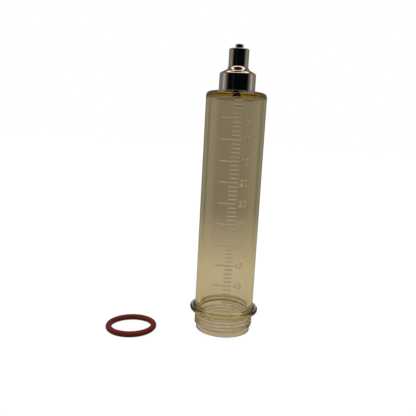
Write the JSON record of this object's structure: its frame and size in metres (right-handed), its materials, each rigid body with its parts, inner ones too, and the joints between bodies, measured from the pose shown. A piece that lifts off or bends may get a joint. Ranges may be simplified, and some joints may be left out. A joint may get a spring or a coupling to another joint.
{
  "type": "injector barrel with luer lock nose",
  "caption": "Clear amber injector barrel with moulded scale and rear screw thread, unscrewing metal Luer-lock nose, and a loose piston O-ring.",
  "frame": {"origin": "centre of the barrel's open rear rim, on the table plane it stands on", "axes": "+Z along the barrel's axis towards the nose, -Y the side that carries the scale, so +X is to the right of someone reading it"},
  "size_m": [0.0776, 0.0408, 0.145],
  "materials": {
    "amber_plastic": "clear polished amber plastic",
    "plated_metal": "bright nickel plating",
    "clear_silicone": "satin",
    "red_silicone": "satin"
  },
  "bodies": {
    "barrel": {"barrel": "amber_plastic"},
    "seal": {"nose_seal": "clear_silicone"},
    "nose": {"nose": "plated_metal", "luer_cone": "plated_metal"},
    "ring": {"piston_o_ring": "red_silicone"}
  },
  "joints": [
    {"name": "nose_travel", "type": "slide", "parent": "barrel", "child": "seal", "axis": [0, 0, 1], "range_m": [0, 0.0075]},
    {"name": "nose_unscrew", "type": "hinge", "parent": "seal", "child": "nose", "pos_m": [0, 0, 0.122], "axis": [0, 0, 1], "range_deg": [0, 1800]},
    {"name": "o_ring_lift", "type": "slide", "parent": "barrel", "child": "ring", "axis": [0, 0, 1], "range_m": [0, 0.03]}
  ],
  "couplings": [
    {"joint": "nose_travel", "follows": "nose_unscrew", "m_per_rad": 0.00023873}
  ]
}
